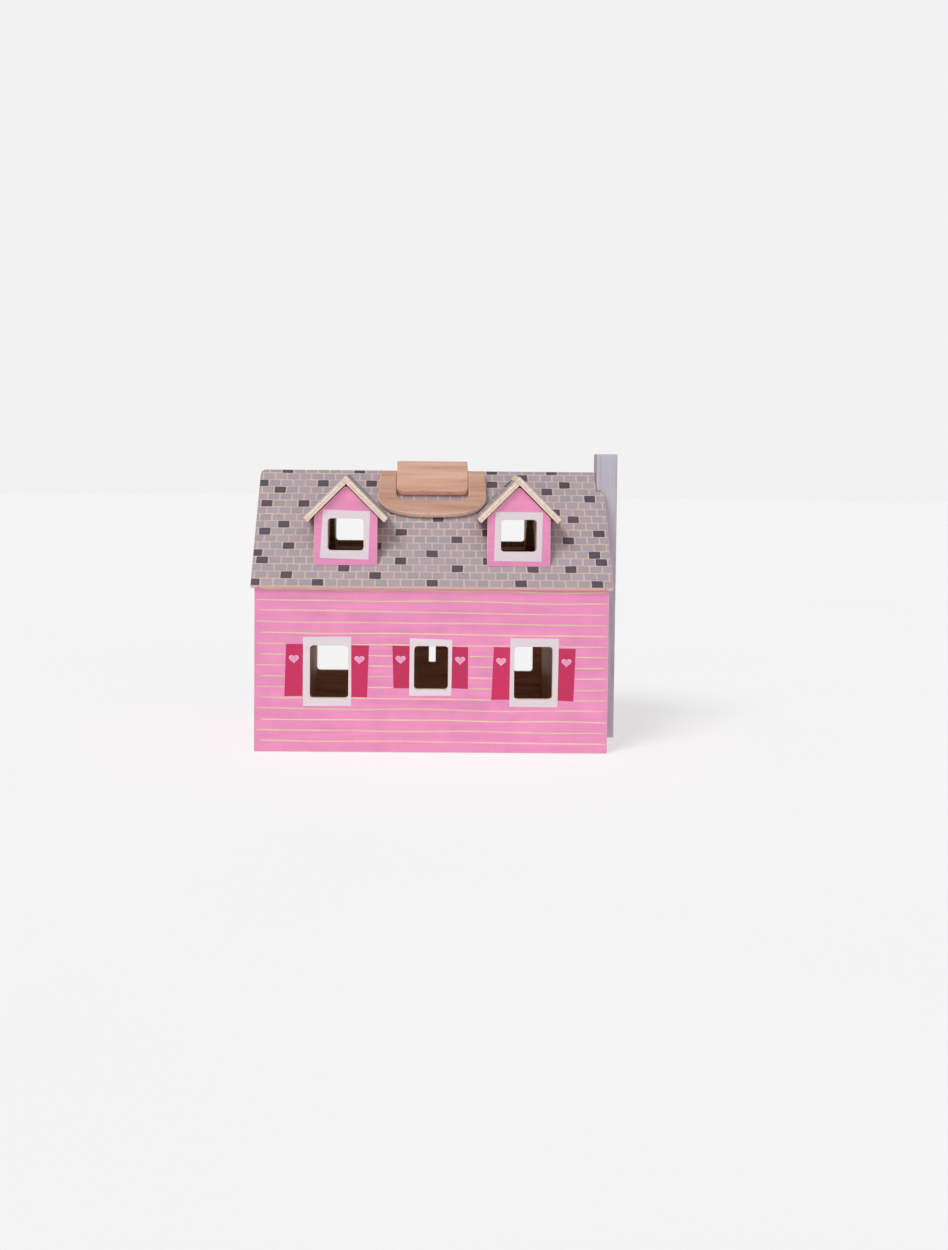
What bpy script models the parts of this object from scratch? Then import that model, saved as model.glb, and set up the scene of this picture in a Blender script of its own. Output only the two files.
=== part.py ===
"""Fold-open wooden dollhouse: two hinged half houses, four dormers, a chimney and two lift-up handles.

Metres, +Z up. The front of the house faces -Y and the chimney stands at +X. The origin is on the ground
in the middle of the closed house's outer box. The two halves meet at the plane Y = 0, and the front half
swings round the hinge pins beside the left gable. Every half is drawn with a distance "out" from that
plane: out is -Y for the front half and +Y for the back half.
"""

import math

import bmesh
import bpy
from mathutils import Matrix, Vector

FRONT = -1
BACK = 1
SIDE_NAMES = {FRONT: "front", BACK: "back"}

GAP = 0.0003
PLY = 0.005

HOUSE_WIDTH = 0.330
HALF_DEPTH = 0.0825
WALL_HEIGHT = 0.1546

RIDGE_HEIGHT = 0.2623
EAVE_OUT = 0.0875
EAVE_HEIGHT = 0.156
ROOF_PLY = 0.0045
ROOF_OVERHANG = 0.00325
ROOF_CORNER_RADIUS = 0.006

UPPER_FLOOR_TOP = 0.135
PARTITION_X = 0.120

CORNER_STEPS = 3
WINDOW_RADIUS = 0.003
SIDE_WINDOW = {"middle": 0.0952, "width": 0.0357, "bottom": 0.0508, "top": 0.100}
CENTRE_WINDOW = {"middle": -0.0002, "width": 0.0316, "bottom": 0.0595, "top": 0.100}
BACK_SLIT = {"middle": 0.0033, "width": 0.0070, "bottom": 0.0600, "top": 0.100, "radius": 0.0006}
BACK_WINDOW_SHIFT = -0.0043

DORMER_X = 0.081
DORMER_WIDTH = 0.059
DORMER_FACE_OUT = 0.073
DORMER_APEX = 0.2583
DORMER_PLY = 0.0055
DORMER_BOARD_LENGTH = 0.0560
DORMER_FRONT_LIP = 0.004
DORMER_SEAM = 0.0014
DORMER_APEX_CUT = 0.0012
DORMER_WINDOW = {"middle": 0.0, "width": 0.0334, "bottom": 0.188, "top": 0.218}
DORMER_HATCH_WIDTH = 0.0334
DORMER_HATCH_TOP = 0.050
DORMER_HATCH_BOTTOM = 0.1035

CHIMNEY_LEFT = 0.1613
CHIMNEY_RIGHT = 0.1816
CHIMNEY_HALF_DEPTH = 0.0115
CHIMNEY_HEIGHT = 0.2798
CHIMNEY_STEP = 0.2433
CHIMNEY_EDGE = 0.0011
NOTCH_SIDE = 0.1606
NOTCH_DEPTH = 0.0244

HANDLE_X = 0.0004
HANDLE_PLY = 0.006
HANDLE_TOP = 0.0057
HANDLE_TOP_HALF = 0.0513
HANDLE_HALF_WIDTH = 0.0524
HANDLE_WIDEST = 0.036
HANDLE_BOTTOM = 0.059
HANDLE_ROUNDNESS = 2.5
HANDLE_CORNER_STEPS = 10
HANDLE_UPPER_RADIUS = 0.006
HANDLE_SLOT_HALF = 0.035
HANDLE_SLOT_END = 0.041
HANDLE_SLOT_RADIUS = 0.0075
HANDLE_EDGE = 0.0012
HANDLE_LIFT = 0.0008
PIVOT_FROM_TOP = 0.0028
PIVOT_RADIUS = 0.0015
PIVOT_CLEARANCE = 0.0003
PIVOT_END = 0.0018
PIVOT_SLOPE = HANDLE_TOP + PIVOT_FROM_TOP
PIVOT_LIFT = HANDLE_LIFT + HANDLE_PLY / 2

BLOCK_HALF_WIDTH = 0.0346
BLOCK_PLY = 0.0075
BLOCK_BOTTOM = 0.0314
BLOCK_CORNER = 0.005
BLOCK_EDGE = 0.0009
BLOCK_CROWN_RADIUS = 0.008
BLOCK_CROWN_END = math.radians(12)
CROWN_STEPS = 4

PIN_OFFSET = 0.004
PIN_RADIUS = 0.0011
PIN_HEAD_RADIUS = 0.0019
PIN_HEAD = 0.0009
KNUCKLE_RADIUS = 0.0024
KNUCKLE_BORE = 0.0014
LEAF_PLY = 0.001
LEAF_WIDTH = 0.014
LEAF_HEIGHT = 0.032
KNUCKLE_GAP = 0.0006
HINGE_BOTTOMS = {"lower": 0.024, "upper": 0.180}
SCREW_OUT = 0.0088
SCREW_SPREAD = 0.0092
SCREW_HEAD_RADIUS = 0.0021
SCREW_HEAD = 0.0009
SCREW_SHANK_RADIUS = 0.0009
SCREW_LENGTH = 0.0042
SCREW_BORE = 0.0012
SCREW_SLOT = 0.0005

ROD_SIDES = 16
BORE_SIDES = 12
KNUCKLE_SIDES = 20

HALF_WIDTH = HOUSE_WIDTH / 2
LEFT_REACH = HALF_WIDTH + PIN_OFFSET + KNUCKLE_RADIUS
HOUSE_X = (LEFT_REACH - CHIMNEY_RIGHT) / 2
HINGE_X = HOUSE_X - HALF_WIDTH - PIN_OFFSET
PITCH = math.atan2(RIDGE_HEIGHT - EAVE_HEIGHT, EAVE_OUT)
SLOPE_LENGTH = math.hypot(RIDGE_HEIGHT - EAVE_HEIGHT, EAVE_OUT)
UNDERSIDE_DROP = ROOF_PLY / math.cos(PITCH)

LOOKS = {
    "pink_paint": ((0.85, 0.28, 0.51), 0.5, 0.0),
    "shingle_paint": ((0.42, 0.37, 0.42), 0.6, 0.0),
    "bare_ply": ((0.62, 0.42, 0.26), 0.6, 0.0),
    "beech": ((0.69, 0.40, 0.28), 0.45, 0.0),
    "chimney_stain": ((0.48, 0.46, 0.55), 0.6, 0.0),
    "brass": ((0.80, 0.60, 0.26), 0.3, 1.0),
    "steel": ((0.60, 0.60, 0.62), 0.3, 1.0),
}


def clear_scene():
    for old in list(bpy.data.objects):
        bpy.data.objects.remove(old, do_unlink=True)


def roof_top(out):
    """Height of the roof's upper surface at a distance out from the ridge plane."""
    return RIDGE_HEIGHT - out * math.tan(PITCH)


def roof_underside(out):
    return roof_top(out) - UNDERSIDE_DROP


def slope_point(side, x, down, lift):
    """The point that lies down the slope from the ridge and lift above the roof's upper surface."""
    out = down * math.cos(PITCH) + lift * math.sin(PITCH)
    height = RIDGE_HEIGHT - down * math.sin(PITCH) + lift * math.cos(PITCH)
    return Vector((HOUSE_X + x, side * out, height))


def arc(centre, radius, start, end, steps):
    """Points along an arc, with its angles in degrees."""
    angles = [math.radians(start + (end - start) * step / steps) for step in range(steps + 1)]
    return [(centre[0] + radius * math.cos(a), centre[1] + radius * math.sin(a)) for a in angles]


def rectangle(left, right, bottom, top, radius=0.0):
    """The outline of a rectangle, with round corners if it has a radius."""
    if not radius:
        return [(left, bottom), (right, bottom), (right, top), (left, top)]
    corners = [
        (left + radius, bottom + radius, 180),
        (right - radius, bottom + radius, 270),
        (right - radius, top - radius, 0),
        (left + radius, top - radius, 90),
    ]
    return [
        point
        for x, y, start in corners
        for point in arc((x, y), radius, start, start + 90, CORNER_STEPS)
    ]


def window_outline(window, middle=None):
    centre = window["middle"] if middle is None else middle
    half = window["width"] / 2
    radius = window.get("radius", WINDOW_RADIUS)
    return rectangle(centre - half, centre + half, window["bottom"], window["top"], radius)


def face_outwards(mesh):
    mesh.normal_update()
    bmesh.ops.recalc_face_normals(mesh, faces=mesh.faces[:])


def board(outline, holes, thickness, place):
    """A flat board. place turns an outline's two values and a depth into a point of the house."""
    mesh = bmesh.new()
    for loop in [outline, *holes]:
        ring = [mesh.verts.new((a, b, 0.0)) for a, b in loop]
        for start, end in zip(ring, ring[1:] + ring[:1]):
            mesh.edges.new((start, end))
    if holes:
        bmesh.ops.triangle_fill(mesh, edges=mesh.edges[:], use_beauty=True)
    else:
        mesh.faces.new(mesh.verts[:])
    raised = bmesh.ops.extrude_face_region(mesh, geom=mesh.faces[:])["geom"]
    raised_verts = [item for item in raised if isinstance(item, bmesh.types.BMVert)]
    bmesh.ops.translate(mesh, verts=raised_verts, vec=(0.0, 0.0, thickness))
    for vert in mesh.verts:
        vert.co = place(*vert.co)
    face_outwards(mesh)
    return mesh


def cut_away(mesh, point, normal):
    """Removes what lies on the normal's side of a plane and closes the cut with a face."""
    everything = mesh.verts[:] + mesh.edges[:] + mesh.faces[:]
    cut = bmesh.ops.bisect_plane(
        mesh, geom=everything, dist=1e-6, plane_co=point, plane_no=normal, clear_outer=True
    )
    rim = [item for item in cut["geom_cut"] if isinstance(item, bmesh.types.BMEdge)]
    bmesh.ops.edgeloop_fill(mesh, edges=rim)
    face_outwards(mesh)


def rest_on_roof(mesh, side):
    """Trims a dormer board where it meets the roof, along a plane just above the slope."""
    downwards = Vector((0.0, -side * math.sin(PITCH), -math.cos(PITCH)))
    cut_away(mesh, slope_point(side, 0.0, 0.0, GAP), downwards)


def rod(start, end, radius, sides):
    mesh = bmesh.new()
    along = Vector(end) - Vector(start)
    middle = (Vector(end) + Vector(start)) / 2
    turn = along.to_track_quat("Z", "Y").to_matrix().to_4x4()
    bmesh.ops.create_cone(
        mesh,
        cap_ends=True,
        segments=sides,
        radius1=radius,
        radius2=radius,
        depth=along.length,
        matrix=Matrix.Translation(middle) @ turn,
    )
    return mesh


def turned(profile, start, direction, sides):
    """A lathe-turned piece: the profile's (distance along, radius) points start and end on its axis."""
    mesh = bmesh.new()
    points = [mesh.verts.new((radius, 0.0, along)) for along, radius in profile]
    edges = [mesh.edges.new(pair) for pair in zip(points, points[1:])]
    bmesh.ops.spin(
        mesh, geom=points + edges, cent=(0, 0, 0), axis=(0, 0, 1), angle=math.tau, steps=sides, use_merge=True
    )
    bmesh.ops.remove_doubles(mesh, verts=mesh.verts[:], dist=1e-7)
    turn = Vector(direction).to_track_quat("Z", "Y").to_matrix().to_4x4()
    bmesh.ops.transform(mesh, matrix=Matrix.Translation(start) @ turn, verts=mesh.verts[:])
    face_outwards(mesh)
    return mesh


def place_of(thing):
    """Where a thing stands in the house, through all its parents."""
    total = Vector()
    while thing:
        total += thing.location
        thing = thing.parent
    return total


def finish_for(name, look):
    colour, roughness, metallic = LOOKS[look]
    material = bpy.data.materials.new(name + "_finish")
    material.use_nodes = True
    shader = material.node_tree.nodes["Principled BSDF"]
    shader.inputs["Base Color"].default_value = (*colour, 1.0)
    shader.inputs["Roughness"].default_value = roughness
    shader.inputs["Metallic"].default_value = metallic
    return material


def add_object(name, mesh, parent, origin=None):
    """Makes an object of a bmesh, with its origin at the given point or at the mesh's middle."""
    if origin is None:
        lowest = Vector([min(vert.co[axis] for vert in mesh.verts) for axis in range(3)])
        highest = Vector([max(vert.co[axis] for vert in mesh.verts) for axis in range(3)])
        origin = (lowest + highest) / 2
    bmesh.ops.translate(mesh, verts=mesh.verts[:], vec=-origin)
    data = bpy.data.meshes.new(name)
    mesh.to_mesh(data)
    mesh.free()
    made = bpy.data.objects.new(name, data)
    bpy.context.scene.collection.objects.link(made)
    made.parent = parent
    made.location = origin - place_of(parent)
    return made


def add_part(name, mesh, look, parent, origin=None):
    part = add_object(name, mesh, parent, origin)
    part.data.materials.append(finish_for(name, look))
    return part


def add_pivot(name, location, parent=None):
    """An empty on a joint's axis, for the pieces that turn about it."""
    pivot = bpy.data.objects.new(name, None)
    pivot.empty_display_size = 0.02
    bpy.context.scene.collection.objects.link(pivot)
    pivot.parent = parent
    pivot.location = Vector(location) - place_of(parent)
    return pivot


def subtract(part, mesh):
    """Cuts the mesh out of the part with a Boolean whose cutter is kept out of renders."""
    cutter = add_object(part.name + "_cutter", mesh, part)
    cutter.hide_render = True
    cutter.display_type = "WIRE"
    cut = part.modifiers.new("cut", "BOOLEAN")
    cut.operation = "DIFFERENCE"
    cut.solver = "EXACT"
    cut.object = cutter


def join_on(part, mesh):
    """Makes the mesh one solid with the part."""
    extra = add_object(part.name + "_addition", mesh, part)
    extra.hide_render = True
    extra.display_type = "WIRE"
    union = part.modifiers.new("join", "BOOLEAN")
    union.operation = "UNION"
    union.solver = "EXACT"
    union.object = extra


def round_edges(part, width, segments):
    rounding = part.modifiers.new("rounding", "BEVEL")
    rounding.width = width
    rounding.segments = segments
    rounding.limit_method = "ANGLE"
    rounding.angle_limit = math.radians(40)


def shade_round(part):
    part.data.shade_smooth()
    part.data.set_sharp_from_angle(angle=math.radians(40))


def make_wall(side, half):
    """The long outer wall. Its two outer windows match; the middle one is a slit in the back wall."""
    middle = CENTRE_WINDOW if side == FRONT else BACK_SLIT
    shift = 0.0 if side == FRONT else BACK_WINDOW_SHIFT
    windows = [
        window_outline(SIDE_WINDOW, shift - SIDE_WINDOW["middle"]),
        window_outline(middle),
        window_outline(SIDE_WINDOW, shift + SIDE_WINDOW["middle"]),
    ]
    outline = rectangle(-HALF_WIDTH, HALF_WIDTH, 0.0, WALL_HEIGHT)

    def place(x, height, depth):
        return HOUSE_X + x, side * (HALF_DEPTH - depth), height

    add_part(SIDE_NAMES[side] + "_wall", board(outline, windows, PLY, place), "pink_paint", half)


def make_gables(side, half):
    """End walls under the roof panel. The right one's peak is cut square to carry the chimney."""
    inner = HALF_DEPTH - PLY - GAP
    for hand, outer_x in (("left", -HALF_WIDTH), ("right", HALF_WIDTH - PLY)):
        outline = [
            (GAP, 0.0),
            (inner, 0.0),
            (inner, roof_underside(inner) - GAP),
            (GAP, roof_underside(GAP) - GAP),
        ]
        if hand == "right":
            top = CHIMNEY_STEP - GAP
            shoulder = (roof_underside(0.0) - GAP - top) / math.tan(PITCH)
            outline[3:] = [(shoulder, top), (GAP, top)]

        def place(out, height, depth, left_face=outer_x):
            return HOUSE_X + left_face + depth, side * out, height

        name = f"{SIDE_NAMES[side]}_{hand}_gable"
        gable = add_part(name, board(outline, [], PLY, place), "pink_paint", half)
        if hand == "left":
            for start in screw_places(side):
                bore_end = start + Vector((SCREW_LENGTH + LEAF_PLY, 0.0, 0.0))
                subtract(gable, rod(start, bore_end, SCREW_BORE, BORE_SIDES))


def make_floor(side, half, name, top):
    reach = HALF_WIDTH - PLY - GAP
    outline = rectangle(-reach, reach, GAP, HALF_DEPTH - PLY - GAP)

    def place(x, out, depth):
        return HOUSE_X + x, side * out, top - depth

    add_part(f"{SIDE_NAMES[side]}_{name}", board(outline, [], PLY, place), "bare_ply", half)


def make_partition(side, half, name, middle, bottom, top_at):
    """A cross wall between two rooms. top_at gives its height at a distance out from the ridge plane."""
    near = GAP
    far = HALF_DEPTH - PLY - GAP
    outline = [(near, bottom), (far, bottom), (far, top_at(far)), (near, top_at(near))]

    def place(out, height, depth):
        return HOUSE_X + middle - PLY / 2 + depth, side * out, height

    add_part(f"{SIDE_NAMES[side]}_{name}", board(outline, [], PLY, place), "bare_ply", half)


def make_rooms(side, half):
    make_floor(side, half, "ground_floor", PLY)
    make_floor(side, half, "upper_floor", UPPER_FLOOR_TOP)
    ceiling = UPPER_FLOOR_TOP - PLY - GAP
    for hand, middle in (("left", -PARTITION_X), ("right", PARTITION_X)):
        make_partition(side, half, hand + "_partition", middle, PLY + GAP, lambda out: ceiling)
    attic_bottom = UPPER_FLOOR_TOP + GAP
    make_partition(side, half, "attic_partition", 0.0, attic_bottom, lambda out: roof_underside(out) - GAP)


def make_roof(side, half):
    """A sloping panel with a hatch behind each dormer and a corner cut out for the chimney."""
    ridge = GAP / math.cos(PITCH)
    reach = HALF_WIDTH + ROOF_OVERHANG
    corner = (-reach + ROOF_CORNER_RADIUS, ridge + ROOF_CORNER_RADIUS)
    outline = [
        *arc(corner, ROOF_CORNER_RADIUS, 180, 270, CORNER_STEPS),
        (NOTCH_SIDE, ridge),
        (NOTCH_SIDE, NOTCH_DEPTH),
        (reach, NOTCH_DEPTH),
        (reach, SLOPE_LENGTH),
        (-reach, SLOPE_LENGTH),
    ]
    hatch = DORMER_HATCH_WIDTH / 2
    hatches = [
        rectangle(middle - hatch, middle + hatch, DORMER_HATCH_TOP, DORMER_HATCH_BOTTOM)
        for middle in (-DORMER_X, DORMER_X)
    ]

    def place(x, down, depth):
        return slope_point(side, x, down, -depth)

    panel = board(outline, hatches, ROOF_PLY, place)
    cut_away(panel, (0.0, side * GAP, 0.0), (0.0, -side, 0.0))
    add_part(SIDE_NAMES[side] + "_roof_panel", panel, "shingle_paint", half)


def make_dormer_face(side, half, name, middle):
    """The upright gabled board with a window, standing on the roof slope."""
    apex = DORMER_APEX - DORMER_PLY * math.sqrt(2) - DORMER_SEAM
    edge = DORMER_WIDTH / 2
    outline = [
        (-edge, EAVE_HEIGHT),
        (edge, EAVE_HEIGHT),
        (edge, apex - edge),
        (DORMER_APEX_CUT, apex - DORMER_APEX_CUT),
        (-DORMER_APEX_CUT, apex - DORMER_APEX_CUT),
        (-edge, apex - edge),
    ]

    def place(x, height, depth):
        return HOUSE_X + middle + x, side * (DORMER_FACE_OUT - depth), height

    face = board(outline, [window_outline(DORMER_WINDOW)], PLY, place)
    rest_on_roof(face, side)
    add_part(name + "_face", face, "pink_paint", half)


def make_dormer_cheeks(side, half, name, middle):
    """The two side boards that line the way in from the window, under the roof boards."""
    inner = DORMER_WINDOW["width"] / 2
    top = DORMER_APEX - DORMER_PLY * math.sqrt(2) - inner - PLY - 2 * GAP
    behind_face = DORMER_FACE_OUT - PLY - GAP
    outline = [(0.0, EAVE_HEIGHT), (behind_face, EAVE_HEIGHT), (behind_face, top), (0.0, top)]
    for hand, left_face in (("left", -inner - PLY), ("right", inner)):

        def place(out, height, depth, start=middle + left_face):
            return HOUSE_X + start + depth, side * out, height

        cheek = board(outline, [], PLY, place)
        rest_on_roof(cheek, side)
        add_part(f"{name}_{hand}_cheek", cheek, "pink_paint", half)


def make_dormer_roof(side, half, name, middle):
    """Two boards at right angles. The right one runs to the apex and the left one butts against it."""
    front = DORMER_FACE_OUT + DORMER_FRONT_LIP
    diagonal = math.sqrt(0.5)
    for hand, sign in (("left", -1), ("right", 1)):
        start = DORMER_PLY + GAP if hand == "left" else 0.0
        outline = rectangle(start, DORMER_BOARD_LENGTH, 0.0, front)

        def place(down, out, depth, sign=sign):
            sideways = sign * (down - depth) * diagonal
            height = DORMER_APEX - (down + depth) * diagonal
            return HOUSE_X + middle + sideways, side * out, height

        roof_board = board(outline, [], DORMER_PLY, place)
        rest_on_roof(roof_board, side)
        add_part(f"{name}_{hand}_roof", roof_board, "shingle_paint", half)


def make_dormers(side, half):
    for hand, middle in (("left", -DORMER_X), ("right", DORMER_X)):
        name = f"{SIDE_NAMES[side]}_{hand}_dormer"
        make_dormer_face(side, half, name, middle)
        make_dormer_cheeks(side, half, name, middle)
        make_dormer_roof(side, half, name, middle)


def block_profile():
    """The handle block's section as (down, lift) points: a slab whose top curves over at the ridge."""
    sine, cosine = math.sin(PITCH), math.cos(PITCH)
    low, high = GAP, GAP + BLOCK_PLY
    run = BLOCK_CROWN_RADIUS * (sine - math.sin(BLOCK_CROWN_END))
    crown_start = (GAP + run - high * sine) / cosine
    points = [(BLOCK_BOTTOM, low), (BLOCK_BOTTOM, high)]
    for step in range(CROWN_STEPS + 1):
        turn = (PITCH - BLOCK_CROWN_END) * step / CROWN_STEPS
        along = BLOCK_CROWN_RADIUS * math.sin(turn)
        drop = BLOCK_CROWN_RADIUS * (1 - math.cos(turn))
        points.append((crown_start - along, high - drop))
    points.append(((GAP - low * sine) / cosine, low))
    return points


def down_of(side, point):
    """How far down the slope a point lies."""
    return side * point.y * math.cos(PITCH) - (point.z - RIDGE_HEIGHT) * math.sin(PITCH)


def make_handle_block(side, half):
    """The beech block beside the ridge that the handle turns on, drilled for the pivot rod."""

    def place(down, lift, across):
        return slope_point(side, HANDLE_X - BLOCK_HALF_WIDTH + across, down, lift)

    block_mesh = board(block_profile(), [], 2 * BLOCK_HALF_WIDTH, place)
    corners = [
        edge
        for edge in block_mesh.edges
        if all(abs(down_of(side, vert.co) - BLOCK_BOTTOM) < GAP for vert in edge.verts)
        and abs(edge.verts[0].co.x - edge.verts[1].co.x) < GAP
    ]
    bmesh.ops.bevel(
        block_mesh, geom=corners, offset=BLOCK_CORNER, segments=4, profile=0.5, affect="EDGES"
    )
    block = add_part(SIDE_NAMES[side] + "_handle_block", block_mesh, "beech", half)
    round_edges(block, BLOCK_EDGE, 3)
    reach = BLOCK_HALF_WIDTH + GAP
    start = slope_point(side, HANDLE_X - reach, PIVOT_SLOPE, PIVOT_LIFT)
    end = slope_point(side, HANDLE_X + reach, PIVOT_SLOPE, PIVOT_LIFT)
    subtract(block, rod(start, end, PIVOT_RADIUS + PIVOT_CLEARANCE, ROD_SIDES))
    shade_round(block)


def make_handle_rod(side, half):
    """The steel rod through the block and into both legs of the handle, short of their outer edges."""
    reach = HANDLE_TOP_HALF - PIVOT_END
    start = slope_point(side, HANDLE_X - reach, PIVOT_SLOPE, PIVOT_LIFT)
    end = slope_point(side, HANDLE_X + reach, PIVOT_SLOPE, PIVOT_LIFT)
    pin = add_part(SIDE_NAMES[side] + "_handle_pin", rod(start, end, PIVOT_RADIUS, ROD_SIDES), "steel", half)
    shade_round(pin)


def handle_outline():
    """The U of the handle as (x, down) points. Below its widest line it is a quarter of a full,
    rather square oval on each side, so its sides and its bottom swell a little."""
    top, tight = HANDLE_UPPER_RADIUS, HANDLE_SLOT_RADIUS
    inner, slot_end = HANDLE_SLOT_HALF, HANDLE_SLOT_END
    right = arc((HANDLE_TOP_HALF - top, HANDLE_TOP + top), top, -90, 0, CORNER_STEPS + 1)
    for step in range(HANDLE_CORNER_STEPS):
        turn = math.pi / 2 * step / HANDLE_CORNER_STEPS
        across = HANDLE_HALF_WIDTH * math.cos(turn) ** (2 / HANDLE_ROUNDNESS)
        fall = (HANDLE_BOTTOM - HANDLE_WIDEST) * math.sin(turn) ** (2 / HANDLE_ROUNDNESS)
        right.append((across, HANDLE_WIDEST + fall))
    left = [(-across, down) for across, down in reversed(right)]
    return [
        *right,
        (0.0, HANDLE_BOTTOM),
        *left,
        (-inner, HANDLE_TOP),
        *arc((-inner + tight, slot_end - tight), tight, 180, 90, CORNER_STEPS + 1),
        *arc((inner - tight, slot_end - tight), tight, 90, 0, CORNER_STEPS + 1),
        (inner, HANDLE_TOP),
    ]


def make_handle(side, pivot):
    """The U-shaped carry handle, lying on the slope with its legs either side of the block."""

    def place(x, down, depth):
        return slope_point(side, HANDLE_X + x, down, HANDLE_LIFT + depth)

    mesh = board(handle_outline(), [], HANDLE_PLY, place)
    handle = add_part(SIDE_NAMES[side] + "_handle", mesh, "beech", pivot, place_of(pivot))
    round_edges(handle, HANDLE_EDGE, 3)
    reach = HANDLE_HALF_WIDTH + GAP
    start = slope_point(side, HANDLE_X - reach, PIVOT_SLOPE, PIVOT_LIFT)
    end = slope_point(side, HANDLE_X + reach, PIVOT_SLOPE, PIVOT_LIFT)
    subtract(handle, rod(start, end, PIVOT_RADIUS + PIVOT_CLEARANCE, ROD_SIDES))
    shade_round(handle)


def make_chimney(half):
    """A square post up the right gable. Its top part steps in over the gable's cut peak."""
    lower_left = HALF_WIDTH + GAP
    outline = [
        (lower_left, 0.0),
        (CHIMNEY_RIGHT, 0.0),
        (CHIMNEY_RIGHT, CHIMNEY_HEIGHT),
        (CHIMNEY_LEFT, CHIMNEY_HEIGHT),
        (CHIMNEY_LEFT, CHIMNEY_STEP),
        (lower_left, CHIMNEY_STEP),
    ]

    def place(x, height, depth):
        return HOUSE_X + x, depth - CHIMNEY_HALF_DEPTH, height

    post = board(outline, [], 2 * CHIMNEY_HALF_DEPTH, place)
    convex = [edge for edge in post.edges if edge.is_convex and edge.calc_length() > 2 * CHIMNEY_EDGE]
    bmesh.ops.bevel(post, geom=convex, offset=CHIMNEY_EDGE, segments=2, profile=0.5, affect="EDGES")
    add_part("chimney", post, "chimney_stain", half)


def leaf_x():
    """The X range of a hinge leaf, which lies on the left gable's outer face."""
    wall_side = HOUSE_X - HALF_WIDTH - GAP
    return wall_side - LEAF_PLY, wall_side


def screw_places(side):
    """Where each hinge screw's shank starts, at the underside of its head."""
    seat = leaf_x()[0] - GAP
    return [
        Vector((seat, side * SCREW_OUT, bottom + LEAF_HEIGHT / 2 + spread))
        for bottom in HINGE_BOTTOMS.values()
        for spread in (-SCREW_SPREAD, SCREW_SPREAD)
    ]


def knuckle(side, bottom, top):
    """One knuckle: a barrel round the pin's axis with a web back to the leaf."""
    barrel = rod((HINGE_X, 0.0, bottom), (HINGE_X, 0.0, top), KNUCKLE_RADIUS, KNUCKLE_SIDES)
    left, right = HINGE_X + KNUCKLE_BORE + GAP, leaf_x()[1]
    web_outline = rectangle(left, right, GAP, KNUCKLE_RADIUS - GAP)
    web = board(web_outline, [], top - bottom, lambda x, out, depth: (x, side * out, bottom + depth))
    return barrel, web


def make_hinge_leaf(side, half, level):
    """A leaf plate with its knuckles: two at the ends of the back leaf, one between on the front leaf."""
    bottom = HINGE_BOTTOMS[level]
    left, right = leaf_x()
    outline = rectangle(GAP, LEAF_WIDTH, bottom, bottom + LEAF_HEIGHT)

    def place(out, height, depth):
        return left + depth, side * out, height

    name = f"{level}_hinge_{SIDE_NAMES[side]}_leaf"
    leaf = add_part(name, board(outline, [], right - left, place), "brass", half)
    third = LEAF_HEIGHT / 3
    if side == BACK:
        spans = [(0.0, third - KNUCKLE_GAP / 2), (2 * third + KNUCKLE_GAP / 2, LEAF_HEIGHT)]
    else:
        spans = [(third + KNUCKLE_GAP / 2, 2 * third - KNUCKLE_GAP / 2)]
    for start, end in spans:
        for piece in knuckle(side, bottom + start, bottom + end):
            join_on(leaf, piece)
    bore_bottom = (HINGE_X, 0.0, bottom - KNUCKLE_GAP)
    bore_top = (HINGE_X, 0.0, bottom + LEAF_HEIGHT + KNUCKLE_GAP)
    subtract(leaf, rod(bore_bottom, bore_top, KNUCKLE_BORE, ROD_SIDES))
    for start in screw_places(side):
        if bottom < start.z < bottom + LEAF_HEIGHT:
            through = start + Vector((LEAF_PLY + 2 * GAP, 0.0, 0.0))
            subtract(leaf, rod(start, through, SCREW_BORE, BORE_SIDES))


def make_hinge_pin(half, level):
    """The pin through all three knuckles, with a low head at each end."""
    start = HINGE_BOTTOMS[level] - GAP - PIN_HEAD
    length = LEAF_HEIGHT + 2 * (GAP + PIN_HEAD)
    profile = [
        (0.0, 0.0),
        (0.0, 0.7 * PIN_HEAD_RADIUS),
        (0.4 * PIN_HEAD, PIN_HEAD_RADIUS),
        (PIN_HEAD, PIN_HEAD_RADIUS),
        (PIN_HEAD, PIN_RADIUS),
        (length - PIN_HEAD, PIN_RADIUS),
        (length - PIN_HEAD, PIN_HEAD_RADIUS),
        (length - 0.4 * PIN_HEAD, PIN_HEAD_RADIUS),
        (length, 0.7 * PIN_HEAD_RADIUS),
        (length, 0.0),
    ]
    mesh = turned(profile, (HINGE_X, 0.0, start), (0.0, 0.0, 1.0), ROD_SIDES)
    shade_round(add_part(level + "_hinge_pin", mesh, "brass", half))


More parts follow.
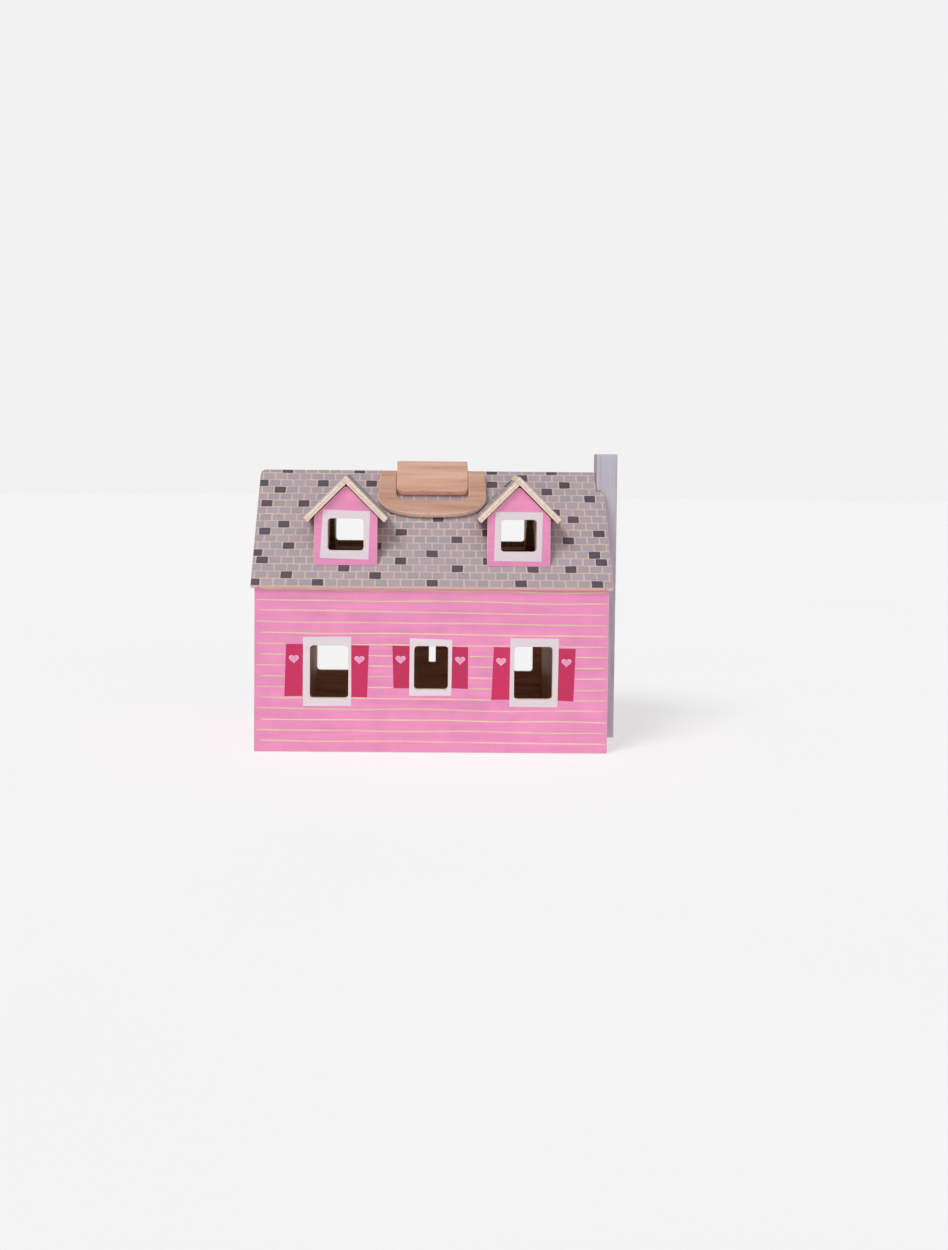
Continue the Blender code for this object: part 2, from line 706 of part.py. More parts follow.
def make_screws(side, half):
    """Round-headed slotted screws that hold the leaves to the left gable."""
    profile = [
        (-SCREW_HEAD, 0.0),
        (-SCREW_HEAD, 0.5 * SCREW_HEAD_RADIUS),
        (-0.7 * SCREW_HEAD, 0.85 * SCREW_HEAD_RADIUS),
        (-0.3 * SCREW_HEAD, SCREW_HEAD_RADIUS),
        (0.0, SCREW_HEAD_RADIUS),
        (0.0, SCREW_SHANK_RADIUS),
        (0.75 * SCREW_LENGTH, SCREW_SHANK_RADIUS),
        (SCREW_LENGTH + LEAF_PLY, 0.0),
    ]
    for number, start in enumerate(screw_places(side), 1):
        screw_mesh = turned(profile, start, (1.0, 0.0, 0.0), ROD_SIDES)
        screw = add_part(f"{SIDE_NAMES[side]}_hinge_screw_{number}", screw_mesh, "brass", half)
        slot = rectangle(-SCREW_HEAD_RADIUS, SCREW_HEAD_RADIUS, -SCREW_SLOT / 2, SCREW_SLOT / 2)
        outer_face = start.x - SCREW_HEAD - GAP

        def place(out, height, depth, start=start, outer_face=outer_face):
            return outer_face + depth, start.y + out, start.z + height

        subtract(screw, board(slot, [], GAP + SCREW_SLOT, place))
        shade_round(screw)


def make_half(side, half):
    make_wall(side, half)
    make_gables(side, half)
    make_rooms(side, half)
    make_roof(side, half)
    make_dormers(side, half)
    make_handle_block(side, half)
    make_handle_rod(side, half)
    for level in HINGE_BOTTOMS:
        make_hinge_leaf(side, half, level)
    make_screws(side, half)
    pivot_place = slope_point(side, HANDLE_X, PIVOT_SLOPE, PIVOT_LIFT)
    pivot = add_pivot(SIDE_NAMES[side] + "_handle_pivot", pivot_place, half)
    make_handle(side, pivot)


def make_house():
    clear_scene()
    back_half = add_pivot("back_half", (0.0, 0.0, 0.0))
    front_half = add_pivot("front_half_pivot", (HINGE_X, 0.0, 0.0), back_half)
    make_half(BACK, back_half)
    make_half(FRONT, front_half)
    make_chimney(back_half)
    for level in HINGE_BOTTOMS:
        make_hinge_pin(back_half, level)


make_house()
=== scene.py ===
"""Looks of the fold-open wooden dollhouse: its printed films, paint, plywood, beech and metal.

The house's own frame is used throughout: metres, +Z up, the front facing -Y. Prints are drawn flat, in a
board's two directions, and then laid on it as closed films no thicker than 0.15 mm.
"""

import math
import random

import bmesh
import bpy
from mathutils import Matrix, Vector, noise


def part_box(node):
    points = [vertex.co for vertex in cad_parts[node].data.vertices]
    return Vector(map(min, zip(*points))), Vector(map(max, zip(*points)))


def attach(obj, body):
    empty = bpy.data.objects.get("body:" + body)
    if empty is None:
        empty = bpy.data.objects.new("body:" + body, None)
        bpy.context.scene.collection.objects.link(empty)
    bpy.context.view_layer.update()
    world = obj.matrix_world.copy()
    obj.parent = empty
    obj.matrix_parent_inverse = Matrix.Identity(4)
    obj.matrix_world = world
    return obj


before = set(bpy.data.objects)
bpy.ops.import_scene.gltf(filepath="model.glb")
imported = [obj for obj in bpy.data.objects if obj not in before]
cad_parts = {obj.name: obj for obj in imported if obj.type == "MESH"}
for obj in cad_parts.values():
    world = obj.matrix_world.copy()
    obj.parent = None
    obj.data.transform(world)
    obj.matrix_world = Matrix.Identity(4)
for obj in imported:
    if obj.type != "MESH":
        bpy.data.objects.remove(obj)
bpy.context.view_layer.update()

SIDES = {"front": -1, "back": 1}

# The house, as the frame gives it.
wall_low, wall_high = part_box("front_wall")
roof_low, roof_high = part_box("front_roof_panel")
HOUSE_X = (wall_low[0] + wall_high[0]) / 2
HALF_WIDTH = (wall_high[0] - wall_low[0]) / 2
WALL_OUT = -wall_low[1]
ROOF_REACH = (roof_high[0] - roof_low[0]) / 2
EAVE_OUT = -roof_low[1]

# The boards, the roof, the openings and the dormers, as the part has them.
PLY = 0.005
GAP = 0.0003
RIDGE_HEIGHT = 0.2623
EAVE_HEIGHT = 0.156
ROOF_PLY = 0.0045
PITCH = math.atan2(RIDGE_HEIGHT - EAVE_HEIGHT, EAVE_OUT)
SLOPE_LENGTH = math.hypot(RIDGE_HEIGHT - EAVE_HEIGHT, EAVE_OUT)
ROOF_CORNER = 0.006
NOTCH_SIDE = 0.1606
NOTCH_DEPTH = 0.0244
HATCH_HALF = 0.0167
HATCH_TOP = 0.050
HATCH_BOTTOM = 0.1035
WINDOW_RADIUS = 0.003
DORMER_X = 0.081
DORMER_APEX = 0.2583
DORMER_PLY = 0.0055
DORMER_BOARD = 0.0560
DORMER_FRONT = 0.077
DORMER_FACE = 0.073
DIAGONAL = math.sqrt(0.5)
CHIMNEY_HALF = 0.0115
HANDLE_PLY = 0.006
HANDLE_LIFT = 0.0008

# Films: how far a print lies off its board, how thick each kind is, and how far prints stay from an edge.
FILM_SEAT = 0.00002
FILM = 0.00006
FRAME_FILM = 0.00010
SHUTTER_FILM = 0.00008
HEART_RIM_FILM = 0.00005
HEART_CORE_FILM = 0.00004
BRAD_FILM = 0.00015
PRINT_MARGIN = 0.0004

# A board's sharp edges are rounded by a hair, and a print round an opening stops within that rounding.
EDGE_ROUND = 0.0003
EDGE_SLOT = 2
SHARP_ANGLE = math.radians(40)
WELD_REACH = 0.00001
OPENING_MARGIN = 0.7 * EDGE_ROUND
CORNER_STEPS = 3

# How nearly a face has to point along a direction, as a cosine, to count as a board's face, or as a block's
# lower end or side, which gets a paler beech as painted light.
FACE_COSINE = 0.9
PAINTED_LIGHT_END_COSINE = 0.7

# The brads at the ends of the eaves: how far out from the middle, and how far below the roof's face.
BRAD_OUT = 0.1612
BRAD_DEPTH = 0.0025
BRAD_RADIUS = 0.0007
BRAD_SIDES = 12

# The shingle print. Rows are counted down from the ridge, and columns both ways from the roof's middle.
ROW_PITCH = 0.00832
ROW_START = -0.00314
ROW_COUNT = 17
COLUMN_PITCH = 0.0118
COLUMN_REACH = 15
SHINGLE = (0.0104, 0.0071)
CHARCOAL = (0.0106, 0.0077)
SHINGLE_WOBBLE = 0.00028
SHINGLE_NIP = 0.0005
SMALLEST_SHINGLE = 2e-7
SHINGLE_SEED = 11
CORNER_CUT = 0.45 * ROOF_CORNER
FAR = 1.0
CHARCOAL_COLUMNS = {
    0: (-12, -6, 5, 10, 14),
    1: (-3, 7),
    2: (-14, -9, -5, 5, 11, 14),
    3: (-13, 9),
    4: (13,),
    5: (-14, -11, 1),
    6: (-3, 10),
    7: (0, 11),
    8: (-12,),
    9: (-14, -3, 4, 13),
    10: (2, 11),
    11: (-12, -5),
    12: (-14, 0, 13),
    13: (-14, -3, 4, 13),
    14: (-7, 2, 8, 11),
    15: (-12, -5),
    16: (-14, -9, 0, 7, 13),
}

# The same print on the dormers' roof boards, where the dark shingles fall by chance.
DORMER_ROWS = 7
DORMER_COLUMNS = 8
DORMER_ROW_START = 0.0002 + 0.4 * ROW_PITCH
DORMER_DARK_SHARE = 0.09
DORMER_SMALLEST_SHINGLE = 1e-6
DORMER_SEED = 29

# The wall print: each window's opening, its white frame's corners and its shutters' corners, seen from
# outside as (left, bottom), (right, bottom), (right, top), (left, top).
LEFT_WINDOW = {
    "opening": (-0.11305, 0.0508, -0.07735, 0.100),
    "frame": ((-0.1192, 0.0432), (-0.0744, 0.0436), (-0.0748, 0.1083), (-0.1196, 0.1078)),
    "shutters": [
        ((-0.1367, 0.0522), (-0.1199, 0.0526), (-0.1196, 0.1012), (-0.1354, 0.1011)),
        ((-0.0744, 0.0519), (-0.0596, 0.0515), (-0.0583, 0.1003), (-0.0748, 0.1004)),
    ],
    "hearts": [(-0.1280, 0.0868), (-0.0670, 0.0864)],
}
CENTRE_WINDOW = {
    "opening": (-0.0160, 0.0595, 0.0156, 0.100),
    "frame": ((-0.0205, 0.0534), (0.0188, 0.0537), (0.0193, 0.1062), (-0.0202, 0.1073)),
    "shutters": [
        ((-0.0351, 0.0604), (-0.0205, 0.0603), (-0.0204, 0.0999), (-0.0365, 0.1003)),
        ((0.0188, 0.0607), (0.0343, 0.0603), (0.0341, 0.0993), (0.0191, 0.0996)),
    ],
    "hearts": [(-0.0287, 0.0868), (0.0268, 0.0864)],
}
RIGHT_WINDOW = {
    "opening": (0.07735, 0.0508, 0.11305, 0.100),
    "frame": ((0.0731, 0.0438), (0.1180, 0.0434), (0.1187, 0.1078), (0.0735, 0.1080)),
    "shutters": [
        ((0.0562, 0.0501), (0.0731, 0.0503), (0.0735, 0.0994), (0.0581, 0.0996)),
        ((0.1171, 0.0498), (0.1329, 0.0490), (0.1345, 0.0984), (0.1186, 0.0986)),
    ],
    "hearts": [(0.0650, 0.0855), (0.1260, 0.0849)],
}
SLIT_WINDOW = {
    "opening": (-0.0068, 0.0600, 0.0002, 0.100),
    "frame": ((-0.0118, 0.0534), (0.0050, 0.0537), (0.0053, 0.1064), (-0.0115, 0.1068)),
    "shutters": [
        ((-0.0274, 0.0604), (-0.0119, 0.0603), (-0.0116, 0.0999), (-0.0278, 0.1003)),
        ((0.0051, 0.0607), (0.0206, 0.0603), (0.0204, 0.0993), (0.0053, 0.0996)),
    ],
    "hearts": [(-0.0197, 0.0868), (0.0130, 0.0864)],
    "radius": 0.0006,
}
BACK_SHIFT = 0.0043
HEART = (0.0093, 0.0078)
HEART_CORE = 0.76
HEART_POINTS = 36
DORMER_FRAMES = {
    "left": ((-0.0240, 0.1809), (0.0213, 0.1795), (0.0226, 0.2249), (-0.0213, 0.2262)),
    "right": ((-0.0232, 0.1792), (0.0214, 0.1788), (0.0221, 0.2252), (-0.0222, 0.2254)),
}
DORMER_OPENING = (-0.0167, 0.188, 0.0167, 0.218)

# The clapboard lines, counted down from under the eaves. Above those, the gables have some more.
LINE_COUNT = 15
GABLE_TOP_LINE = -8
LINE_SEED = 5
LINE_PITCH = 0.01013
LINE_TOP = 0.1517
LINE_TILT = -0.0052
LINE_WIDTH = 0.0011
LINE_STEP = 0.006
LINE_WAVE = 0.0006
LINE_WAVE_LENGTH = 0.075
LINE_WAVE_STRIDE = 3.7
LINE_FULLNESS = 0.95
LINE_SWELL = 0.45
LINE_SWELL_LENGTH = 0.02
LINE_SWELL_STRIDE = 9.1
LINE_SWELL_PHASE = 5.0
LINE_TAPER = 0.6
LINE_CLEARANCE = 0.0006
LINE_STARTS = (0.0060, 0.0020)
LINE_START_STRAY = 0.0004
LINE_END = 0.0012
LINE_END_STRAY = 0.0006
SHORTEST_LINE = 0.002

# On the gables the lines stay off the split, the chimney, the roof and their own ends by these.
GABLE_SPLIT_GAP = 0.0006
GABLE_CHIMNEY_GAP = 0.001
GABLE_ROOF_GAP = 0.0035
GABLE_END_GAP = 0.0015
GABLE_PHASE = 7.0
SHORTEST_GABLE_LINE = 0.004

# The sawn edges of most boards, of the roof panels and of the handles: the colours of their pale layers,
# their tan layers and their glue, as a screen shows them.
EDGE_CREAM = ((252, 238, 224), (241, 219, 202), (164, 120, 98))
EDGE_ROSE = ((243, 217, 204), (226, 192, 176), (176, 130, 108))
EDGE_BEECH = ((252, 226, 208), (243, 210, 190), (166, 116, 92))

# The stage. The backdrop stands a little below the floor. Colours from 0 to 255 are as a screen shows them.
STAGE_RADIUS = 7.0
STAGE_SIDES = 96
FLOOR_DROP = 0.0002
FLOOR_TONES = (0.495, 0.505)
FLOOR_GLOW = 0.535
BACKDROP_HEIGHT = 3.6
BACKDROP_FOOT = 0.01
BACKDROP_GREY = 242

# The lamps are azimuth, elevation, strength and angular size, with the angles in degrees.
SKY_STRENGTH = 0.34
KEY_LAMP = (-38.0, 48.0, 1.5, 24.0)
FILL_LAMP = (20.0, 35.0, 0.30, 60.0)
WHITE = (1.0, 1.0, 1.0, 1.0)

# The camera's turn is about X, Y and Z, in radians, from looking straight back along +Y.
CAMERA_PLACE = (-0.0241, -1.3527, 0.2843)
CAMERA_TURN = (-0.0443, -0.0091, -0.0120)
CAMERA_LENS = 39.5
CAMERA_SHIFT = (0.0362, -0.0929)


def linear(red, green, blue):
    """A colour as a screen shows it, 0 to 255, as the linear values that shaders use."""

    def one(value):
        value /= 255
        return value / 12.92 if value <= 0.04045 else ((value + 0.055) / 1.055) ** 2.4

    return one(red), one(green), one(blue), 1.0


class Recipe:
    """One procedural material. Each step adds a node and gives back its output."""

    def __init__(self, name, roughness, metallic=0.0):
        self.material = bpy.data.materials.new(name)
        self.material.use_nodes = True
        self.tree = self.material.node_tree
        self.shader = self.tree.nodes["Principled BSDF"]
        self.shader.inputs["Roughness"].default_value = roughness
        self.shader.inputs["Metallic"].default_value = metallic
        self.object_place = self.add("ShaderNodeTexCoord").outputs["Object"]

    def add(self, kind, **settings):
        """Adds one node with its settings."""
        made = self.tree.nodes.new(kind)
        for key, value in settings.items():
            setattr(made, key, value)
        return made

    def feed(self, socket, value):
        """Links another node's output to an input, or else sets the input to a plain value."""
        if isinstance(value, bpy.types.NodeSocket):
            self.tree.links.new(value, socket)
        else:
            socket.default_value = value

    def place(self, scale):
        """Object coordinates, in metres, stretched by the scale."""
        mapping = self.add("ShaderNodeMapping")
        self.feed(mapping.inputs["Vector"], self.object_place)
        mapping.inputs["Scale"].default_value = scale
        return mapping.outputs["Vector"]

    def cloud(self, vector, detail=3.0, roughness=0.55, distortion=0.0):
        """Noise, whose values lie mostly between 0.3 and 0.7."""
        made = self.add("ShaderNodeTexNoise")
        self.feed(made.inputs["Vector"], vector)
        made.inputs["Scale"].default_value = 1.0
        made.inputs["Detail"].default_value = detail
        made.inputs["Roughness"].default_value = roughness
        made.inputs["Distortion"].default_value = distortion
        return made.outputs["Fac"]

    def ramp(self, value, stops):
        """A colour ramp through (position, colour) stops."""
        made = self.add("ShaderNodeValToRGB")
        self.feed(made.inputs["Fac"], value)
        keys = made.color_ramp.elements
        while len(keys) < len(stops):
            keys.new(1.0)
        for key, (position, colour) in zip(keys, stops):
            key.position = position
            key.color = colour
        return made.outputs["Color"]

    def range(self, value, low, high, out_low=0.0, out_high=1.0):
        """A value's range, low to high, moved to another range and held there."""
        made = self.add("ShaderNodeMapRange")
        self.feed(made.inputs["Value"], value)
        made.inputs["From Min"].default_value = low
        made.inputs["From Max"].default_value = high
        made.inputs["To Min"].default_value = out_low
        made.inputs["To Max"].default_value = out_high
        return made.outputs["Result"]

    def math(self, operation, first, second):
        """One arithmetic step on two values."""
        made = self.add("ShaderNodeMath", operation=operation)
        self.feed(made.inputs[0], first)
        self.feed(made.inputs[1], second)
        return made.outputs["Value"]

    def mix(self, factor, first, second):
        """The first colour or value at factor 0, the second at 1."""
        made = self.add("ShaderNodeMix", data_type="RGBA")
        self.feed(made.inputs["Factor"], factor)
        self.feed(made.inputs[6], first)
        self.feed(made.inputs[7], second)
        return made.outputs[2]

    def along(self, direction):
        """How far a point lies along a direction, in metres."""
        made = self.add("ShaderNodeVectorMath", operation="DOT_PRODUCT")
        self.feed(made.inputs[0], self.object_place)
        made.inputs[1].default_value = direction
        return made.outputs["Value"]

    def bump(self, height, strength, distance=0.0002):
        """Gives the shader a fine relief."""
        made = self.add("ShaderNodeBump")
        self.feed(made.inputs["Height"], height)
        made.inputs["Strength"].default_value = strength
        made.inputs["Distance"].default_value = distance
        self.feed(self.shader.inputs["Normal"], made.outputs["Normal"])

    def island(self):
        """A number that is the same all over one separate print, and differs from print to print."""
        return self.add("ShaderNodeNewGeometry").outputs["Random Per Island"]

    def finish(self, colour, roughness=None):
        """Gives the shader its colour, and a roughness that varies if one is given."""
        self.feed(self.shader.inputs["Base Color"], colour)
        if roughness is not None:
            self.feed(self.shader.inputs["Roughness"], roughness)
        return self.material


def tint(colour, amount):
    """The colour made lighter (over 1) or darker (under 1)."""
    return tuple(min(1.0, part * amount) for part in colour[:3]) + (1.0,)


def paint(name, colour, roughness=0.52, grain=(9.0, 160.0, 160.0), depth=0.10):
    """Satin paint on veneer: the grain shows through as faint bands, with a fine orange peel."""
    recipe = Recipe(name, roughness)
    bands = recipe.cloud(recipe.place(grain), 4.0, 0.6, 0.4)
    mottle = recipe.cloud(recipe.place((55.0, 55.0, 55.0)), 2.0)
    peel = recipe.cloud(recipe.place((1500.0, 1500.0, 1500.0)), 2.0)
    tone = recipe.mix(0.45, bands, mottle)
    deep, pale = tint(colour, 1.0 - depth), tint(colour, 1.0 + depth)
    shade = recipe.ramp(tone, [(0.32, deep), (0.5, colour), (0.70, pale)])
    recipe.bump(recipe.mix(0.6, bands, peel), 0.16)
    return recipe.finish(shade, recipe.range(mottle, 0.3, 0.7, roughness - 0.06, roughness + 0.08))


def ink(name, colour, spread=0.05, hue=None, roughness=0.5):
    """A print: an even ink whose tone differs a little from one print to the next."""
    recipe = Recipe(name, roughness)
    other = hue or tint(colour, 1.0 - 2 * spread)
    base = recipe.mix(recipe.island(), tint(colour, 1.0 + spread), other)
    bands = recipe.cloud(recipe.place((25.0, 300.0, 300.0)), 3.0)
    mottle = recipe.cloud(recipe.place((220.0, 220.0, 220.0)), 3.0)
    wear = recipe.range(recipe.mix(0.5, bands, mottle), 0.30, 0.75, 0.0, 0.30)
    recipe.bump(mottle, 0.08)
    worn = recipe.mix(wear, base, tint(colour, 0.80))
    return recipe.finish(worn, recipe.range(mottle, 0.3, 0.7, roughness - 0.05, roughness + 0.08))


def veneer(name, grain=(10.0, 190.0, 190.0)):
    """Bare birch veneer, its grain long where the scale is small."""
    recipe = Recipe(name, 0.6)
    fibres = recipe.cloud(recipe.place(grain), 6.0, 0.65, 0.6)
    pores = recipe.cloud(recipe.place(tuple(4.0 * part for part in grain)), 3.0, 0.6)
    clouds = recipe.cloud(recipe.place((18.0, 18.0, 18.0)), 2.0)
    light, middle, dark = linear(228, 192, 158), linear(214, 171, 136), linear(184, 134, 100)
    wood = recipe.ramp(fibres, [(0.30, dark), (0.46, middle), (0.62, light)])
    flecks = recipe.range(pores, 0.60, 0.72, 0.0, 0.35)
    wood = recipe.mix(flecks, wood, dark)
    wood = recipe.mix(recipe.range(clouds, 0.35, 0.65, 0.0, 0.25), wood, tint(middle, 0.9))
    recipe.bump(recipe.mix(0.5, fibres, pores), 0.3)
    return recipe.finish(wood, recipe.range(fibres, 0.3, 0.7, 0.52, 0.68))


def ply_edge(name, direction, start, thickness, colours):
    """The sawn edge of plywood: pale and tan bands across the thickness, with thin dark glue lines."""
    recipe = Recipe(name, 0.62)
    waver = recipe.range(recipe.cloud(recipe.place((60.0, 60.0, 60.0)), 2.0), 0.0, 1.0, -0.03, 0.03)
    across = recipe.range(recipe.along(direction), start, start + thickness)
    across = recipe.math("ADD", across, waver)
    pale, tan, glue = (linear(*colour) for colour in colours)
    bands = recipe.ramp(across, [
        (0.0, pale), (0.17, pale), (0.20, glue), (0.235, tan), (0.47, tan), (0.50, glue),
        (0.53, pale), (0.77, pale), (0.80, glue), (0.835, tan), (1.0, tan),
    ])
    fibres = recipe.cloud(recipe.place((420.0, 420.0, 420.0)), 4.0, 0.7)
    stain = recipe.range(fibres, 0.42, 0.78, 0.0, 0.55)
    recipe.bump(fibres, 0.4)
    stained = recipe.mix(stain, bands, tint(glue, 1.25))
    return recipe.finish(stained, recipe.range(fibres, 0.3, 0.7, 0.55, 0.72))


def beech(name, tone, grain=(14.0, 260.0, 260.0)):
    """Steamed beech: fine straight fibres with short dark flecks along them."""
    recipe = Recipe(name, 0.5)
    fibres = recipe.cloud(recipe.place(grain), 6.0, 0.6, 0.3)
    waves = recipe.cloud(recipe.place((6.0, 70.0, 70.0)), 3.0, 0.5, 1.2)
    flecks = recipe.cloud(recipe.place((190.0, 1500.0, 1500.0)), 2.0, 0.5)
    light, middle, dark = linear(230, 187, 163), linear(218, 170, 145), linear(198, 146, 120)
    wood = recipe.ramp(recipe.mix(0.5, fibres, waves), [
        (0.34, tint(dark, tone)), (0.48, tint(middle, tone)), (0.62, tint(light, tone)),
    ])
    wood = recipe.mix(recipe.range(flecks, 0.60, 0.70, 0.0, 0.45), wood, tint(dark, 0.78 * tone))
    recipe.bump(recipe.mix(0.4, fibres, flecks), 0.25)
    return recipe.finish(wood, recipe.range(waves, 0.3, 0.7, 0.42, 0.56))


def stained_post(name):
    """The chimney's grey-blue stain, thin enough that the upright grain shows."""
    recipe = Recipe(name, 0.55)
    fibres = recipe.cloud(recipe.place((240.0, 240.0, 9.0)), 6.0, 0.6, 0.4)
    mottle = recipe.cloud(recipe.place((60.0, 60.0, 30.0)), 3.0)
    pale, grey, deep = linear(208, 205, 217), linear(193, 190, 203), linear(168, 165, 182)
    stain = recipe.ramp(recipe.mix(0.35, fibres, mottle), [(0.32, deep), (0.48, grey), (0.66, pale)])
    recipe.bump(fibres, 0.3)
    return recipe.finish(stain, recipe.range(mottle, 0.3, 0.7, 0.48, 0.62))


def metal(name, colour, dull, roughness):
    """Plated metal, slightly blotched and finely scratched."""
    recipe = Recipe(name, roughness, 1.0)
    blotches = recipe.cloud(recipe.place((260.0, 260.0, 260.0)), 3.0)
    scratches = recipe.cloud(recipe.place((3000.0, 3000.0, 220.0)), 2.0)
    tone = recipe.mix(recipe.range(blotches, 0.40, 0.75), colour, dull)
    recipe.bump(scratches, 0.12)
    marks = recipe.mix(0.5, blotches, scratches)
    return recipe.finish(tone, recipe.range(marks, 0.3, 0.7, roughness - 0.08, roughness + 0.14))


PINK = linear(240, 147, 193)
GROUND = linear(214, 188, 170)
finishes = {
    "pink": paint("pink_paint_look", PINK),
    "roof_ground": paint("roof_ground_look", GROUND, 0.6, depth=0.07),
    "veneer": veneer("birch_veneer_look"),
    "veneer_upright": veneer("birch_veneer_upright_look", (190.0, 190.0, 10.0)),
    "veneer_deep": veneer("birch_veneer_deep_look", (190.0, 10.0, 190.0)),
    "beech": beech("beech_look", 0.84),
    "block": beech("beech_block_look", 1.0, grain=(9.0, 200.0, 200.0)),
    # Painted light: the block's lower end and sides get an end-grain beech brightened to tone 1.4, standing
    # in for light on faces that look down and sideways.
    "block_end_painted_light": beech("beech_block_painted_light_end_look", 1.4, grain=(260.0, 260.0, 260.0)),
    "stain": stained_post("chimney_stain_look"),
    "brass": metal("brass_look", linear(214, 178, 104), linear(168, 128, 70), 0.32),
    "steel": metal("steel_look", linear(186, 186, 190), linear(128, 126, 128), 0.3),
    "brad": metal("brad_look", linear(96, 70, 66), linear(60, 42, 40), 0.5),
    "white": ink("white_print_look", linear(236, 222, 229), 0.02),
    "crimson": ink("crimson_print_look", linear(210, 36, 94), 0.06),
    "heart_rim": ink("heart_rim_look", linear(246, 190, 218), 0.03),
    "heart_core": ink("heart_core_look", linear(240, 160, 200), 0.04),
    "cream": ink("cream_print_look", linear(246, 214, 178), 0.04),
    "shingle": ink("shingle_print_look", linear(180, 163, 174), 0.03, linear(166, 157, 166)),
    "charcoal": ink("charcoal_print_look", linear(88, 76, 92), 0.06, linear(74, 66, 80)),
}


def moved(window, shift):
    """The same window, moved sideways."""
    left, bottom, right, top = window["opening"]

    def slide(points):
        return tuple((x + shift, height) for x, height in points)

    return {
        "radius": window.get("radius", WINDOW_RADIUS),
        "opening": (left + shift, bottom, right + shift, top),
        "frame": slide(window["frame"]),
        "shutters": [slide(corners) for corners in window["shutters"]],
        "hearts": slide(window["hearts"]),
    }


WALL_PRINT = {
    "front": (LEFT_WINDOW, CENTRE_WINDOW, RIGHT_WINDOW),
    "back": (moved(LEFT_WINDOW, BACK_SHIFT), SLIT_WINDOW, moved(RIGHT_WINDOW, BACK_SHIFT)),
}


def mirrored(side, x):
    """A print's x as it is seen from outside, turned into the house's x."""
    return x if side == -1 else -x


def wall_point(side):
    """Lays a print's (x, height) on the long wall's outer face."""

    def place(x, height, lift):
        return Vector((HOUSE_X + mirrored(side, x), side * (WALL_OUT + lift), height))

    return place


def slope_point(side):
    """Lays a print's (x, down the slope) on the roof's upper face."""

    def place(x, down, lift):
        out = down * math.cos(PITCH) + lift * math.sin(PITCH)
        height = RIDGE_HEIGHT - down * math.sin(PITCH) + lift * math.cos(PITCH)
        return Vector((HOUSE_X + mirrored(side, x), side * out, height))

    return place


def eave_point(side):
    """Lays a print's (x, depth below the upper face) on the roof panel's lower edge."""

    def place(x, depth, lift):
        down = SLOPE_LENGTH + lift
        out = down * math.cos(PITCH) - depth * math.sin(PITCH)
        height = RIDGE_HEIGHT - down * math.sin(PITCH) - depth * math.cos(PITCH)
        return Vector((HOUSE_X + x, side * out, height))

    return place


def dormer_board_point(side, middle, hand):
    """Lays a print's (along the board's length out of the roof, down) on a dormer's roof board."""

    def place(out, down, lift):
        sideways = hand * (down + lift) * DIAGONAL
        height = DORMER_APEX - (down - lift) * DIAGONAL
        return Vector((HOUSE_X + middle + sideways, side * out, height))

    return place


def gable_point(side, hand):
    """Lays a print's (out from the ridge plane, height) on an end wall's outer face."""

    def place(out, height, lift):
        return Vector((HOUSE_X + hand * (HALF_WIDTH + lift), side * out, height))

    return place


def arc(centre, radius, start, steps):
    """A quarter turn of points, anticlockwise from the start angle in degrees."""
    angles = [math.radians(start + 90 * step / steps) for step in range(steps + 1)]
    return [(centre[0] + radius * math.cos(a), centre[1] + radius * math.sin(a)) for a in angles]


def round_rectangle(left, bottom, right, top, radius):
    """A rectangle's outline with rounded corners, anticlockwise."""
    return [
        *arc((left + radius, bottom + radius), radius, 180, CORNER_STEPS),
        *arc((right - radius, bottom + radius), radius, 270, CORNER_STEPS),
        *arc((right - radius, top - radius), radius, 0, CORNER_STEPS),
        *arc((left + radius, top - radius), radius, 90, CORNER_STEPS),
    ]


def keep_side(outline, point, normal):
    """The part of a convex outline that lies on a line's normal side."""

    def reach(spot):
        return (spot[0] - point[0]) * normal[0] + (spot[1] - point[1]) * normal[1]

    kept = []
    for start, end in zip(outline, outline[1:] + outline[:1]):
        here, there = reach(start), reach(end)
        if here >= 0:
            kept.append(start)
        if here * there < 0:
            share = here / (here - there)
            kept.append((start[0] + share * (end[0] - start[0]), start[1] + share * (end[1] - start[1])))
    return kept


def area(outline):
    """The area inside an outline, positive when the outline runs anticlockwise."""
    return 0.5 * sum(a[0] * b[1] - b[0] * a[1] for a, b in zip(outline, outline[1:] + outline[:1]))


def outside_box(outline, left, low, right, high):
    """What is left of a convex outline round a box, as up to four convex pieces."""
    beside = [keep_side(outline, (left, 0), (-1, 0)), keep_side(outline, (right, 0), (1, 0))]
    between = keep_side(keep_side(outline, (left, 0), (1, 0)), (right, 0), (-1, 0))
    if between:
        beside += [keep_side(between, (0, low), (0, -1)), keep_side(between, (0, high), (0, 1))]
    return [piece for piece in beside if len(piece) > 2]


def opening_hole(window, radius):
    """The hole that a white frame's print leaves round an opening."""
    left, bottom, right, top = window
    margin = OPENING_MARGIN
    return round_rectangle(left - margin, bottom - margin, right + margin, top + margin, radius + margin)


